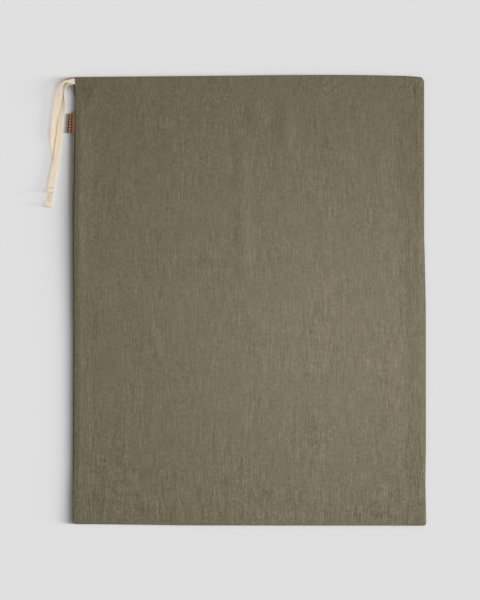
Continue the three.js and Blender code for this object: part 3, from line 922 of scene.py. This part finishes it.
INNER_END = table(
    "x y z turn width",
    (-0.2766, 0.3386, 0.0020, 0, 0.0056),
    (-0.2802, 0.3386, 0.0022, 10, 0.0050),
    (-0.2844, 0.3370, 0.0031, 36, 0.0054),
    (-0.2874, 0.3322, 0.0040, 64, 0.0064),
    (-0.2894, 0.3266, 0.0043, 72, 0.0070),
    (-0.2903, 0.3180, 0.0041, 62, 0.0072),
    (-0.2907, 0.3095, 0.0038, 42, 0.0078),
    (-0.2918, 0.2990, 0.0039, 24, 0.0088),
    (-0.2940, 0.2815, 0.0038, 8, TAPE_WIDTH),
    (-0.2958, 0.2647, 0.0031, 2, TAPE_WIDTH),
    (-0.2979, 0.2490, 0.00275, 0, TAPE_WIDTH),
    (-0.2997, 0.2330, 0.00275, 0, TAPE_WIDTH),
    (-0.3020, 0.2170, 0.00275, 0, TAPE_WIDTH),
    (-0.3048, 0.2010, 0.00275, 0, TAPE_WIDTH),
    (-0.3076, 0.1870, 0.0029, 0, TAPE_WIDTH),
    (-0.3094, 0.1770, 0.0031, 0, 0.0094),
    (-0.3096, 0.1750, 0.0021, 0, 0.0088),
    (-0.3099, 0.1724, 0.0018, 0, 0.0080),
)
END_CELLS = 150
PATH_CELLS = 100


def free_end(name, route, node):
    """One end of the tape along its route, which hides the solid that it stands for."""
    lines = route_line(route)
    shape = sheet_mesh(ACROSS, shares(END_CELLS), TAPE, lambda a, s: tape_point(lines, a, s))
    piece = make_piece(name, shape, cotton, drawstring)
    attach(piece, "root")
    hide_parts(node)
    path = [route_point(lines, share) for share in shares(PATH_CELLS)]


free_end("drawstring_outer_tape", OUTER_END, "drawstring_outer_end")
free_end("drawstring_inner_tape", INNER_END, "drawstring_inner_end")


# Drawstring in the casing.
# The same tape out of sight: along the front casing, round at its closed right-hand end and
# back along the other casing, flat and level all the way.

TAPE_FRONT = (FRONT_INNER + FRONT_OUTER) / 2
TAPE_BACK = (BACK_INNER + BACK_OUTER) / 2
TURN_RADIUS = (TAPE_FRONT - TAPE_BACK) / 2
TURN_INSET = 0.010
END_GAP = 0.0003
# How far the middle of the tape lies below the top edge: at its ends and at its turn.
BELOW_FRONT = 0.0070
BELOW_TURN = 0.0099
BELOW_BACK = 0.0097
LEG_CELLS = 60
TURN_CELLS = 10
turn_x = right_x(BAG_LENGTH / 2) - TURN_INSET


def leg(end, turn, below):
    """Places along one casing, from the tape's free end to its turn: x, turn, below the top."""
    start = end[0]["x"] + END_GAP
    return [(lerp(start, turn_x, s), turn, lerp(below, BELOW_TURN, s)) for s in shares(LEG_CELLS)]


front_leg = leg(OUTER_END, 0, BELOW_FRONT)
back_leg = leg(INNER_END, 180, BELOW_BACK)[::-1]
round_end = [(turn_x, 180 * share, BELOW_TURN) for share in shares(TURN_CELLS)[1:-1]]


def casing_point(across, spot):
    """A place across the tape at one of the places along it."""
    x, turn, down = spot
    turn = math.radians(turn)
    face = Vector((math.sin(turn), 0, math.cos(turn)))
    middle = Vector((x, top_y(x) - down, MOUTH_HEIGHT))
    side = Vector((0, across * TAPE_WIDTH, 0))
    return middle + side + face * (TURN_RADIUS + tape_section(across))


hidden_tape = make_piece(
    "drawstring_casing_tape",
    sheet_mesh(ACROSS, [*front_leg, *round_end, *back_leg], TAPE, casing_point),
    cotton,
    drawstring,
)
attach(hidden_tape, "root")
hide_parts("drawstring_in_casing")


# Floor.
# A large sheet of pale matt paper that the bag lies on, far wider than the picture.
# It belongs to the stage and not to the bag.

PAPER = "#d8d8d8"
FLOOR_REACH = 20
# A hair below the bag, so that the two never lie in one plane.
FLOOR_HEIGHT = -0.0001

floor_mesh = bmesh.new()
bmesh.ops.create_grid(floor_mesh, x_segments=1, y_segments=1, size=FLOOR_REACH)
mesh = bpy.data.meshes.new("floor")
floor_mesh.to_mesh(mesh)
floor_mesh.free()
floor = bpy.data.objects.new("floor", mesh)
floor.location.z = FLOOR_HEIGHT
ground = bpy.data.collections.new("ground")
bpy.context.scene.collection.children.link(ground)
ground.objects.link(floor)
paper, paper_shader = new_material("matt_paper")
paper_shader.inputs["Base Color"].default_value = linear(PAPER)
paper_shader.inputs["Roughness"].default_value = 1
paper_shader.inputs["Specular IOR Level"].default_value = 0
mesh.materials.append(paper)


# Light.
# A tall narrow source low on the right, in steps, lights the floor and gives the bag its long
# soft shadow. The sewn pieces have a wider and higher one, the tape a higher one still, and
# the whole bag a lamp over its right-hand half and the fill.

# The steps of the low source, by their height in degrees, and what casts a shadow in each.
STRIP_SPREAD = math.radians(13)
STRIP = table(
    "height strength blockers",
    (9, 2.60, bag),
    (12.5, 1.90, sewn),
    (16, 1.52, sewn),
    (24, 1.83, sewn),
    (38, 0.78, bag),
)
SEWN_SOURCE = {"height": 28, "toward_mouth": 12, "spread": math.radians(70), "strength": 2.35}
TAPE_SOURCE = {"height": 52, "toward_mouth": 40, "spread": math.radians(60), "strength": 1.52}
FILL = 0.302
LAMP_POWER = 2.43
LAMP_COLOUR = (0.95, 1.0, 1.18)
LAMP_SIZE = 0.2
LAMP_PLACE = (0.185, -0.08, 0.60)


def right_hand_sun(name, height, toward_mouth, spread, strength, lit):
    """A far source on the right, by its angles up and round, that lights one collection alone."""
    sun = bpy.data.objects.new(name, bpy.data.lights.new(name, "SUN"))
    sun.data.energy = strength
    sun.data.angle = spread
    sun.rotation_euler = (0, math.radians(90 - height), math.radians(toward_mouth))
    sun.light_linking.receiver_collection = lit
    bpy.context.scene.collection.objects.link(sun)
    return sun


for row in STRIP:
    name = f"strip_{row['height']}"
    strip_sun = right_hand_sun(name, row["height"], 0, STRIP_SPREAD, row["strength"], ground)
    strip_sun.light_linking.blocker_collection = row["blockers"]
right_hand_sun("soft_source", **SEWN_SOURCE, lit=sewn)
right_hand_sun("tape_source", **TAPE_SOURCE, lit=drawstring)

world = bpy.data.worlds.new("fill")
world.use_nodes = True
world.node_tree.nodes["Background"].inputs["Strength"].default_value = FILL
world.node_tree.nodes["Background"].inputs["Color"].default_value = (1, 1, 1, 1)
bpy.context.scene.world = world

lamp = bpy.data.objects.new("bag_lamp", bpy.data.lights.new("bag_lamp", "AREA"))
lamp.data.energy = LAMP_POWER
lamp.data.color = LAMP_COLOUR
lamp.data.size = LAMP_SIZE
lamp.location = LAMP_PLACE
lamp.visible_camera = False
lamp.light_linking.receiver_collection = bag
bpy.context.scene.collection.objects.link(lamp)
bpy.context.scene.view_settings.view_transform = "Standard"


# Camera.
# Straight above the bag with a long lens, so that its sides hardly show.
# Its view is set by how much of the floor the picture takes in, at the bag's outline.

PHOTO_HEIGHT = 0.936
PHOTO_MIDDLE = (-0.0149, 0.0006)
CAMERA_HEIGHT = 6.0
OUTLINE_HEIGHT = 0.004

camera = bpy.data.objects.new("camera", bpy.data.cameras.new("camera"))
camera.location = (*PHOTO_MIDDLE, CAMERA_HEIGHT)
camera.data.lens = camera.data.sensor_width * (CAMERA_HEIGHT - OUTLINE_HEIGHT) / PHOTO_HEIGHT
bpy.context.scene.collection.objects.link(camera)
bpy.context.scene.camera = camera
